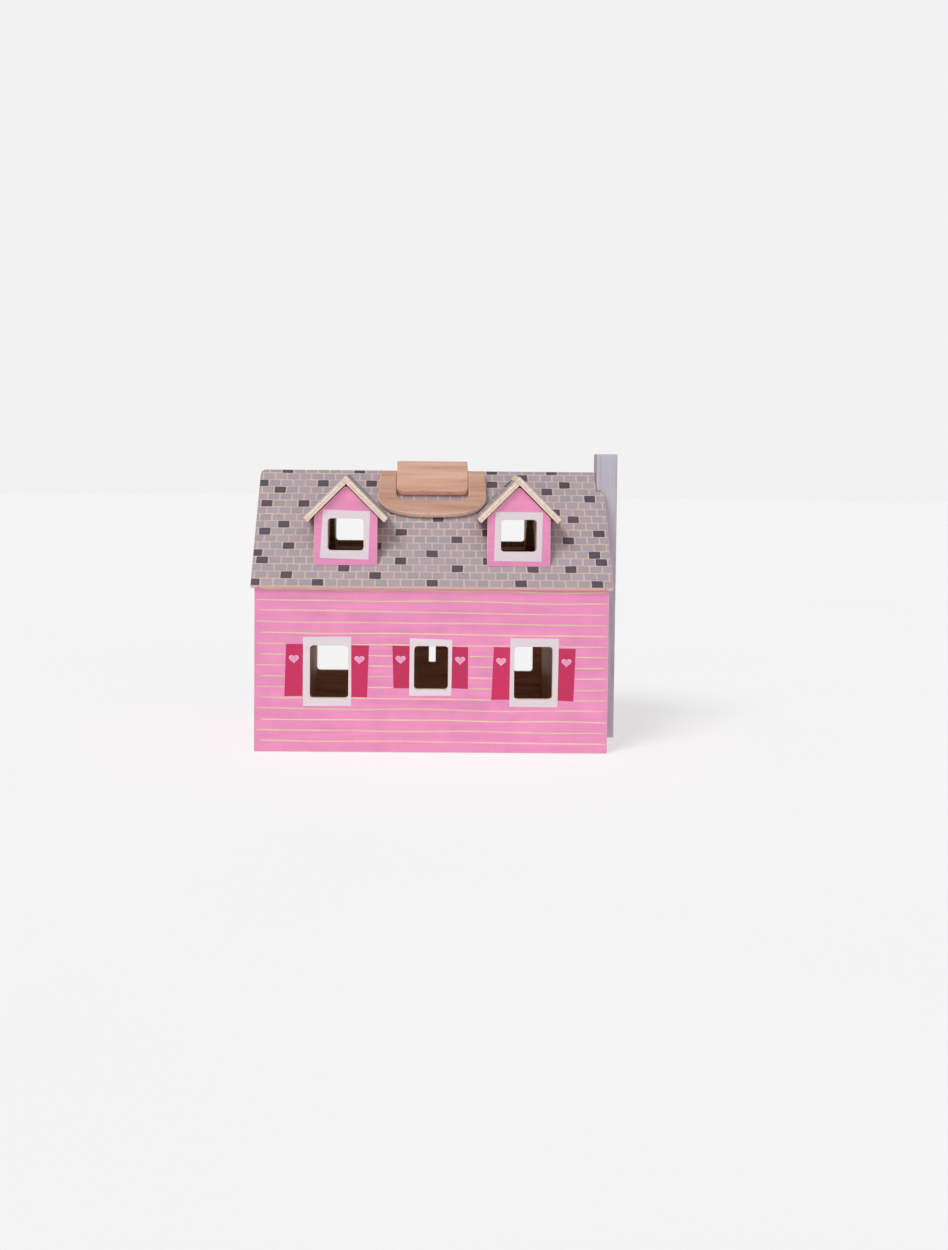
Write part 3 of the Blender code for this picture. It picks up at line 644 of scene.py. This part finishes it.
def film(name, prints, look, body, lift=FILM_SEAT, thickness=FILM):
    """Closed thin prints as one piece. Each print is (outline, holes, place)."""
    mesh = bmesh.new()
    for outline, holes, place in prints:
        before = set(mesh.faces)
        verts_before = set(mesh.verts)
        for loop in [outline, *holes]:
            ring = [mesh.verts.new((a, b, 0.0)) for a, b in loop]
            for start, end in zip(ring, ring[1:] + ring[:1]):
                mesh.edges.new((start, end))
            if not holes:
                mesh.faces.new(ring)
        if holes:
            fresh = [edge for edge in mesh.edges if edge.verts[0] not in verts_before]
            bmesh.ops.triangle_fill(mesh, edges=fresh, use_beauty=True)
        faces = [face for face in mesh.faces if face not in before]
        raised = bmesh.ops.extrude_face_region(mesh, geom=faces)["geom"]
        top = {item for item in raised if isinstance(item, bmesh.types.BMVert)}
        for vert in mesh.verts:
            if vert not in verts_before:
                vert.co = place(vert.co.x, vert.co.y, lift + (thickness if vert in top else 0.0))
    bmesh.ops.recalc_face_normals(mesh, faces=mesh.faces[:])
    data = bpy.data.meshes.new(name)
    mesh.to_mesh(data)
    mesh.free()
    piece = bpy.data.objects.new(name, data)
    bpy.context.scene.collection.objects.link(piece)
    data.materials.append(finishes[look])
    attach(piece, body)


def brick(middle, across, size, wobble, rng):
    """A hand-drawn block: a rectangle with nipped corners and a slightly unsteady outline."""
    half_x, half_y = size[0] / 2, size[1] / 2
    corners = [(-1, -1, 0), (-1, -1, 1), (1, -1, 1), (1, -1, 0), (1, 1, 0), (1, 1, 1), (-1, 1, 1), (-1, 1, 0)]
    points = []
    lean = [(rng.uniform(-wobble, wobble), rng.uniform(-wobble, wobble)) for _ in range(4)]
    for index, (sign_x, sign_y, on_level) in enumerate(corners):
        shift_x, shift_y = lean[index // 2]
        x = sign_x * (half_x - (SHINGLE_NIP if on_level else 0.0)) + shift_x
        y = sign_y * (half_y - (0.0 if on_level else SHINGLE_NIP)) + shift_y
        points.append((middle + x, across + y))
    return points


def roof_prints(side):
    """The roof print's light and dark blocks, clipped to the panel and round its openings."""
    rng = random.Random(SHINGLE_SEED)
    place = slope_point(side)
    reach = ROOF_REACH - PRINT_MARGIN
    light, dark = [], []
    for row in range(ROW_COUNT):
        half_step = 0.5 * (row % 2)
        centre = ROW_START + ROW_PITCH * row + CHARCOAL[1] / 2
        for column in range(-COLUMN_REACH, COLUMN_REACH + 1):
            middle = (column + half_step) * COLUMN_PITCH
            is_dark = column in CHARCOAL_COLUMNS[row]
            outline = brick(middle, centre, CHARCOAL if is_dark else SHINGLE, SHINGLE_WOBBLE, rng)
            pieces = clip_to_roof(outline, reach, side)
            (dark if is_dark else light).extend((piece, [], place) for piece in pieces)
    return light, dark


def clip_to_roof(outline, reach, side):
    """What is left of a block inside the roof panel, outside the chimney's notch and the dormers' hatches."""
    for point, normal in [
        ((-reach, 0), (1, 0)),
        ((reach, 0), (-1, 0)),
        ((0, 2 * PRINT_MARGIN), (0, 1)),
        ((0, SLOPE_LENGTH - PRINT_MARGIN), (0, -1)),
    ]:
        outline = keep_side(outline, point, normal)
        if len(outline) < 3:
            return []
    # The panel's rounded corner is at the ridge's end away from the chimney. A straight cut clears it.
    cut = (side * (reach - CORNER_CUT), CORNER_CUT / 2)
    outline = keep_side(outline, cut, (-side * DIAGONAL, DIAGONAL))
    if len(outline) < 3:
        return []
    margin = PRINT_MARGIN
    notch = (NOTCH_SIDE - margin, -FAR, FAR, NOTCH_DEPTH + margin)
    if side == 1:
        notch = (-FAR, -FAR, -NOTCH_SIDE + margin, NOTCH_DEPTH + margin)
    pieces = outside_box(outline, *notch)
    top, bottom = HATCH_TOP - margin, HATCH_BOTTOM + margin
    for middle in (-DORMER_X, DORMER_X):
        box = (middle - HATCH_HALF - margin, top, middle + HATCH_HALF + margin, bottom)
        pieces = [part for piece in pieces for part in outside_box(piece, *box)]
    return [piece for piece in pieces if area(piece) > SMALLEST_SHINGLE]


def clip_to_dormer_board(outline, hand):
    """What is left of a block inside a dormer's roof board, which is trimmed where it meets the slope."""
    foot = (RIDGE_HEIGHT - DORMER_APEX) / math.tan(PITCH)
    rise = DIAGONAL / math.tan(PITCH)
    length = math.hypot(1.0, rise)
    start = DORMER_PLY + GAP if hand == -1 else 0.0
    for point, normal in [
        ((DORMER_FRONT - PRINT_MARGIN, 0), (-1, 0)),
        ((0, start + PRINT_MARGIN), (0, 1)),
        ((0, DORMER_BOARD - PRINT_MARGIN), (0, -1)),
        ((foot + 3 * PRINT_MARGIN, 0), (1 / length, -rise / length)),
    ]:
        if len(outline) > 2:
            outline = keep_side(outline, point, normal)
    return outline


def dormer_board_prints(side):
    """The same blocks on the four roof boards of one side's dormers."""
    rng = random.Random(DORMER_SEED)
    light, dark = [], []
    for middle in (-DORMER_X, DORMER_X):
        for hand in (-1, 1):
            place = dormer_board_point(side, middle, hand)
            for row in range(DORMER_ROWS):
                centre = DORMER_ROW_START + ROW_PITCH * row
                for column in range(DORMER_COLUMNS):
                    out = DORMER_FRONT - (column + 0.5 * (row % 2)) * COLUMN_PITCH
                    is_dark = rng.random() < DORMER_DARK_SHARE
                    outline = brick(out, centre, CHARCOAL if is_dark else SHINGLE, SHINGLE_WOBBLE, rng)
                    outline = clip_to_dormer_board(outline, hand)
                    if len(outline) > 2 and abs(area(outline)) > DORMER_SMALLEST_SHINGLE:
                        (dark if is_dark else light).append((outline, [], place))
    return light, dark


def line_height(index, x, phase):
    """The height of a clapboard line, which sags and wavers as a hand-drawn one does."""
    wave = noise.noise(Vector((x / LINE_WAVE_LENGTH, LINE_WAVE_STRIDE * index, phase)))
    return LINE_TOP - LINE_PITCH * index + LINE_TILT * x + 2 * LINE_WAVE * wave


def ribbon(index, left, right, phase):
    """One stretch of a clapboard line, with tapered ends."""
    steps = max(2, round((right - left) / LINE_STEP))
    upper, lower = [], []
    for step in range(steps + 1):
        x = left + (right - left) * step / steps
        spot = (x / LINE_SWELL_LENGTH, LINE_SWELL_STRIDE * index, phase + LINE_SWELL_PHASE)
        half = LINE_WIDTH / 2 * (LINE_FULLNESS + LINE_SWELL * noise.noise(Vector(spot)))
        if step in (0, steps):
            half *= LINE_TAPER
        height = line_height(index, x, phase)
        upper.append((x, height + half))
        lower.append((x, height - half))
    return lower + upper[::-1]


def span_at(corners, height):
    """The x range that a four-cornered print takes up at a height, or None."""
    left_low, right_low, right_high, left_high = corners
    lowest = min(left_low[1], right_low[1]) - LINE_CLEARANCE
    highest = max(left_high[1], right_high[1]) + LINE_CLEARANCE
    if not lowest < height < highest:
        return None
    share = (height - left_low[1]) / (left_high[1] - left_low[1])
    left = left_low[0] + share * (left_high[0] - left_low[0])
    right = right_low[0] + share * (right_high[0] - right_low[0])
    return left, right


def wall_lines(side, windows):
    """Clapboard lines across a long wall, broken by the frames and the shutters."""
    rng = random.Random(LINE_SEED + side)
    place = wall_point(side)
    prints = []
    blocks = [corners for window in windows for corners in (window["frame"], *window["shutters"])]
    for index in range(LINE_COUNT):
        start = -HALF_WIDTH + LINE_STARTS[index % 2] + rng.uniform(-LINE_START_STRAY, LINE_START_STRAY)
        finish = HALF_WIDTH - LINE_END - rng.uniform(0.0, LINE_END_STRAY)
        level = LINE_TOP - LINE_PITCH * index
        spans = [span_at(corners, level + LINE_TILT * corners[0][0]) for corners in blocks]
        for left, right in [*sorted(span for span in spans if span), (finish, finish)]:
            if left - start > SHORTEST_LINE:
                prints.append((ribbon(index, start, left, float(side)), [], place))
            start = max(start, right)
    return prints


def gable_lines(side, hand):
    """Clapboard lines round the ends of the house, stopped short of the roof and the chimney."""
    place = gable_point(side, hand)
    prints = []
    inner = GABLE_SPLIT_GAP if hand == -1 else CHIMNEY_HALF + GABLE_CHIMNEY_GAP
    outer = WALL_OUT - PLY - GAP - PRINT_MARGIN
    underside = RIDGE_HEIGHT - ROOF_PLY / math.cos(PITCH) - GABLE_ROOF_GAP
    for index in range(GABLE_TOP_LINE, LINE_COUNT):
        height = line_height(index, 0.0, GABLE_PHASE * hand)
        end = min(outer, (underside - height) / math.tan(PITCH)) - GABLE_END_GAP
        if end - inner > SHORTEST_GABLE_LINE:
            prints.append((ribbon(index, inner, end, GABLE_PHASE * hand), [], place))
    return prints


def heart(middle, size, share):
    """A heart's outline, round lobes above and a point below."""
    # The usual heart curve is 32 wide and about 29 high, and its middle is about 2.5 below its origin.
    points = []
    for step in range(HEART_POINTS):
        turn = math.tau * step / HEART_POINTS
        x = 16 * math.sin(turn) ** 3
        y = 13 * math.cos(turn) - 5 * math.cos(2 * turn) - 2 * math.cos(3 * turn) - math.cos(4 * turn)
        points.append((middle[0] + share * size[0] * x / 32, middle[1] + share * size[1] * (y + 2.5) / 29))
    return points


def wall_prints(name, side):
    """A long wall's frames, shutters, hearts and clapboard lines."""
    windows = WALL_PRINT[name]
    place = wall_point(side)
    half = name + "_half"
    frames, shutters, rims, cores = [], [], [], []
    for window in windows:
        hole = opening_hole(window["opening"], window.get("radius", WINDOW_RADIUS))
        frames.append((list(window["frame"]), [hole], place))
        shutters += [(list(corners), [], place) for corners in window["shutters"]]
        for middle in window["hearts"]:
            rims.append((heart(middle, HEART, 1.0), [], place))
            cores.append((heart(middle, HEART, HEART_CORE), [], place))
    on_shutter = FILM_SEAT + SHUTTER_FILM
    on_rim = on_shutter + HEART_RIM_FILM
    film(name + "_window_frames", frames, "white", half, thickness=FRAME_FILM)
    film(name + "_shutters", shutters, "crimson", half, thickness=SHUTTER_FILM)
    film(name + "_heart_rims", rims, "heart_rim", half, on_shutter, HEART_RIM_FILM)
    film(name + "_hearts", cores, "heart_core", half, on_rim, HEART_CORE_FILM)
    film(name + "_wall_lines", wall_lines(side, windows), "cream", half)


def dormer_frame_prints(name, side):
    """The white frames round the windows of one half's dormers."""
    prints = []
    hole = opening_hole(DORMER_OPENING, WINDOW_RADIUS)
    for hand, middle in (("left", -DORMER_X), ("right", DORMER_X)):

        def place(x, height, lift, middle=middle):
            return Vector((HOUSE_X + mirrored(side, middle + x), side * (DORMER_FACE + lift), height))

        prints.append((list(DORMER_FRAMES[hand]), [hole], place))
    film(name + "_dormer_frames", prints, "white", name + "_half", thickness=FRAME_FILM)


def dress(node, chooser, looks, rounded=True):
    """Gives a CAD board its finishes face by face, and if asked rounds its sharp edges by a hair."""
    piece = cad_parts[node]
    mesh = piece.data
    mesh.materials.clear()
    for look in looks:
        mesh.materials.append(look)
    for face in mesh.polygons:
        face.material_index = chooser(Vector(face.normal))
    if rounded:
        for attribute in ("custom_normal", "sharp_face", "sharp_edge"):
            if attribute in mesh.attributes:
                mesh.attributes.remove(mesh.attributes[attribute])
        mesh.shade_smooth()
        weld = piece.modifiers.new("weld", "WELD")
        weld.merge_threshold = WELD_REACH
        edges = piece.modifiers.new("rounding", "BEVEL")
        edges.width = EDGE_ROUND
        edges.segments = 2
        edges.limit_method = "ANGLE"
        edges.angle_limit = SHARP_ANGLE
        edges.harden_normals = True
        edges.material = EDGE_SLOT


def by_direction(outside):
    """0 for faces that look outside, 1 for those that look the other way, 2 for edges."""

    def choose(normal):
        lean = normal.dot(outside)
        return 0 if lean > FACE_COSINE else 1 if lean < -FACE_COSINE else EDGE_SLOT

    return choose


def by_painted_light_end(down):
    """1 for the block's lower end and its two sides, whose beech is made paler as painted light, standing in
    for light that these shaded faces lack, and 0 for the rest.
    """

    def choose(normal):
        return 1 if normal.dot(down) > PAINTED_LIGHT_END_COSINE or abs(normal.x) > PAINTED_LIGHT_END_COSINE else 0

    return choose


def edge_look(name, direction, start, thickness, colours=EDGE_CREAM):
    """The plywood edge of boards that lie at one place, made once and then shared."""
    key = "edge_" + name
    if key not in finishes:
        finishes[key] = ply_edge(key + "_look", direction, start, thickness, colours)
    return finishes[key]


def dress_boards(name, side):
    """Every board of one half: its outer face, its inner face and its plywood edges."""
    out = Vector((0.0, side, 0.0))
    across = Vector((1.0, 0.0, 0.0))
    up = Vector((0.0, 0.0, 1.0))
    slope = Vector((0.0, side * math.sin(PITCH), math.cos(PITCH)))
    inner, upright, deep = finishes["veneer"], finishes["veneer_upright"], finishes["veneer_deep"]
    pink = finishes["pink"]

    edge = edge_look(name + "_wall", out, WALL_OUT - PLY, PLY)
    dress(name + "_wall", by_direction(out), [pink, inner, edge])

    for hand, sign in (("left", -1), ("right", 1)):
        face = HOUSE_X + sign * HALF_WIDTH
        edge = edge_look("gable_" + hand, sign * across, sign * face - PLY, PLY)
        dress(f"{name}_{hand}_gable", by_direction(sign * across), [pink, upright, edge])
        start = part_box(f"{name}_{hand}_partition")[0][0]
        edge = edge_look("partition_" + hand, across, start, PLY)
        dress(f"{name}_{hand}_partition", by_direction(across), [upright, upright, edge])

    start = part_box(name + "_attic_partition")[0][0]
    edge = edge_look("attic_partition", across, start, PLY)
    dress(name + "_attic_partition", by_direction(across), [upright, upright, edge])

    for floor in ("ground_floor", "upper_floor"):
        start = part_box(f"{name}_{floor}")[0][2]
        edge = edge_look(floor, up, start, PLY)
        dress(f"{name}_{floor}", by_direction(up), [inner, inner, edge])

    ridge = slope.dot(Vector((0.0, 0.0, RIDGE_HEIGHT)))
    edge = edge_look(name + "_roof", slope, ridge - ROOF_PLY, ROOF_PLY, EDGE_ROSE)
    dress(name + "_roof_panel", by_direction(slope), [finishes["roof_ground"], inner, edge])

    for hand, middle in (("left", -DORMER_X), ("right", DORMER_X)):
        dormer = f"{name}_{hand}_dormer"
        edge = edge_look(name + "_dormer_face", out, DORMER_FACE - PLY, PLY)
        dress(dormer + "_face", by_direction(out), [pink, upright, edge])
        for cheek, sign in (("left", -1), ("right", 1)):
            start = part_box(f"{dormer}_{cheek}_cheek")[0][0]
            edge = edge_look(f"{hand}_{cheek}_cheek", across, start, PLY)
            dress(f"{dormer}_{cheek}_cheek", by_direction(sign * across), [pink, deep, edge])
            outward = Vector((sign * DIAGONAL, 0.0, DIAGONAL))
            top = outward.dot(Vector((HOUSE_X + middle, 0.0, DORMER_APEX)))
            edge = edge_look(f"{hand}_{cheek}_dormer_roof", outward, top - DORMER_PLY, DORMER_PLY)
            dress(f"{dormer}_{cheek}_roof", by_direction(outward), [finishes["roof_ground"], deep, edge])


def repaint(node, look):
    """Gives a whole CAD node one finish."""
    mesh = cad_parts[node].data
    mesh.materials.clear()
    mesh.materials.append(finishes[look])
    for face in mesh.polygons:
        face.material_index = 0


def dress_fittings():
    """The hinges, the handles with their blocks and rods, and the chimney."""
    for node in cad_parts:
        if "hinge" in node:
            repaint(node, "brass")
        elif node.endswith("handle_pin"):
            repaint(node, "steel")
    for name, side in SIDES.items():
        slope = Vector((0.0, side * math.sin(PITCH), math.cos(PITCH)))
        down = Vector((0.0, side * math.cos(PITCH), -math.sin(PITCH)))
        top = slope.dot(Vector((0.0, 0.0, RIDGE_HEIGHT))) + HANDLE_LIFT
        edge = edge_look(name + "_handle", slope, top, HANDLE_PLY, EDGE_BEECH)
        dress(name + "_handle", by_direction(slope), [finishes["beech"], finishes["beech"], edge], False)
        # The block's second finish is painted light: a paler beech on its lower end and sides.
        block = [finishes["block"], finishes["block_end_painted_light"]]
        dress(name + "_handle_block", by_painted_light_end(down), block, False)
    repaint("chimney", "stain")


def add_brads():
    """A small dark brad at each end of the eaves, sunk in the roof panel's lower edge."""
    for name, side in SIDES.items():
        dots = []
        for hand in (-1, 1):
            ring = [
                (hand * BRAD_OUT + BRAD_RADIUS * math.cos(turn), BRAD_DEPTH + BRAD_RADIUS * math.sin(turn))
                for turn in (math.tau * step / BRAD_SIDES for step in range(BRAD_SIDES))
            ]
            dots.append((ring, [], eave_point(side)))
        film(name + "_eave_brads", dots, "brad", name + "_half", thickness=BRAD_FILM)


def add_prints():
    """Everything printed on the roofs, the dormers and the four walls."""
    for name, side in SIDES.items():
        half = name + "_half"
        light, dark = roof_prints(side)
        film(name + "_roof_shingles", light, "shingle", half)
        film(name + "_roof_dark_shingles", dark, "charcoal", half)
        light, dark = dormer_board_prints(side)
        film(name + "_dormer_shingles", light, "shingle", half)
        film(name + "_dormer_dark_shingles", dark, "charcoal", half)
        wall_prints(name, side)
        dormer_frame_prints(name, side)
        lines = gable_lines(side, -1) + gable_lines(side, 1)
        film(name + "_gable_lines", lines, "cream", half)


def floor_look():
    """Matt and pale, with a faint glow of its own that keeps it even out to the backdrop."""
    recipe = Recipe("floor_look", 0.75)
    tone = recipe.cloud(recipe.place((3.0, 3.0, 3.0)), 2.0)
    recipe.shader.inputs["Specular IOR Level"].default_value = 0.0
    recipe.shader.inputs["Emission Color"].default_value = WHITE
    recipe.shader.inputs["Emission Strength"].default_value = FLOOR_GLOW
    low, high = ((grey, grey, grey, 1.0) for grey in FLOOR_TONES)
    return recipe.finish(recipe.ramp(tone, [(0.3, low), (0.7, high)]))


def backdrop_look():
    """An even pale grey that no light or shadow reaches."""
    glow = bpy.data.materials.new("backdrop_look")
    glow.use_nodes = True
    glow.node_tree.nodes.clear()
    light = glow.node_tree.nodes.new("ShaderNodeEmission")
    light.inputs["Color"].default_value = linear(BACKDROP_GREY, BACKDROP_GREY, BACKDROP_GREY)
    out = glow.node_tree.nodes.new("ShaderNodeOutputMaterial")
    glow.node_tree.links.new(light.outputs["Emission"], out.inputs["Surface"])
    return glow


def add_stage_piece(name, mesh, look):
    """Makes a bmesh a piece of the stage, which isn't part of the house."""
    data = bpy.data.meshes.new(name)
    mesh.to_mesh(data)
    mesh.free()
    data.materials.append(look)
    thing = bpy.data.objects.new(name, data)
    bpy.context.scene.collection.objects.link(thing)
    return thing


def add_stage():
    """A pale floor with a pale wall far round it."""
    mesh = bmesh.new()
    bmesh.ops.create_circle(mesh, cap_ends=True, segments=STAGE_SIDES, radius=STAGE_RADIUS)
    floor = add_stage_piece("floor", mesh, floor_look())
    floor.location.z = -FLOOR_DROP

    mesh = bmesh.new()
    bmesh.ops.create_cone(
        mesh, segments=STAGE_SIDES, radius1=STAGE_RADIUS, radius2=STAGE_RADIUS, depth=BACKDROP_HEIGHT
    )
    bmesh.ops.translate(mesh, verts=mesh.verts[:], vec=(0.0, 0.0, BACKDROP_HEIGHT / 2 - BACKDROP_FOOT))
    wall = add_stage_piece("backdrop", mesh, backdrop_look())
    for ray in ("visible_diffuse", "visible_glossy", "visible_shadow"):
        setattr(wall, ray, False)


def add_sun(name, azimuth, elevation, strength, angle):
    """A soft distant lamp. Azimuth 0 shines from the front and 90 from the right."""
    lamp = bpy.data.lights.new(name, "SUN")
    lamp.energy = strength
    lamp.angle = math.radians(angle)
    made = bpy.data.objects.new(name, lamp)
    turn, rise = math.radians(azimuth), math.radians(elevation)
    towards = Vector((math.sin(turn) * math.cos(rise), -math.cos(turn) * math.cos(rise), math.sin(rise)))
    made.rotation_euler = towards.to_track_quat("Z", "Y").to_euler()
    bpy.context.scene.collection.objects.link(made)


def add_lights():
    """An even white sky, a soft key from the front left and a weak fill from the front right."""
    world = bpy.data.worlds.new("studio")
    bpy.context.scene.world = world
    world.use_nodes = True
    sky = world.node_tree.nodes["Background"]
    sky.inputs["Color"].default_value = WHITE
    sky.inputs["Strength"].default_value = SKY_STRENGTH
    add_sun("key", *KEY_LAMP)
    add_sun("fill", *FILL_LAMP)
    bpy.context.scene.view_settings.view_transform = "Standard"


def add_camera():
    """Stands a little left of the middle and just above the roof, level but for a slight tilt."""
    data = bpy.data.cameras.new("camera")
    data.lens = CAMERA_LENS
    data.sensor_width = 36.0
    data.shift_x, data.shift_y = CAMERA_SHIFT
    data.clip_end = 40.0
    camera = bpy.data.objects.new("camera", data)
    tilt, roll, yaw = CAMERA_TURN
    turn = Matrix.Rotation(yaw, 4, "Z") @ Matrix.Rotation(tilt, 4, "X") @ Matrix.Rotation(roll, 4, "Y")
    facing_back = Matrix.Rotation(math.pi / 2, 4, "X")
    camera.matrix_world = Matrix.Translation(CAMERA_PLACE) @ turn @ facing_back
    bpy.context.scene.collection.objects.link(camera)
    bpy.context.scene.camera = camera


for name, side in SIDES.items():
    dress_boards(name, side)
dress_fittings()
add_prints()
add_brads()
add_stage()
add_lights()
add_camera()
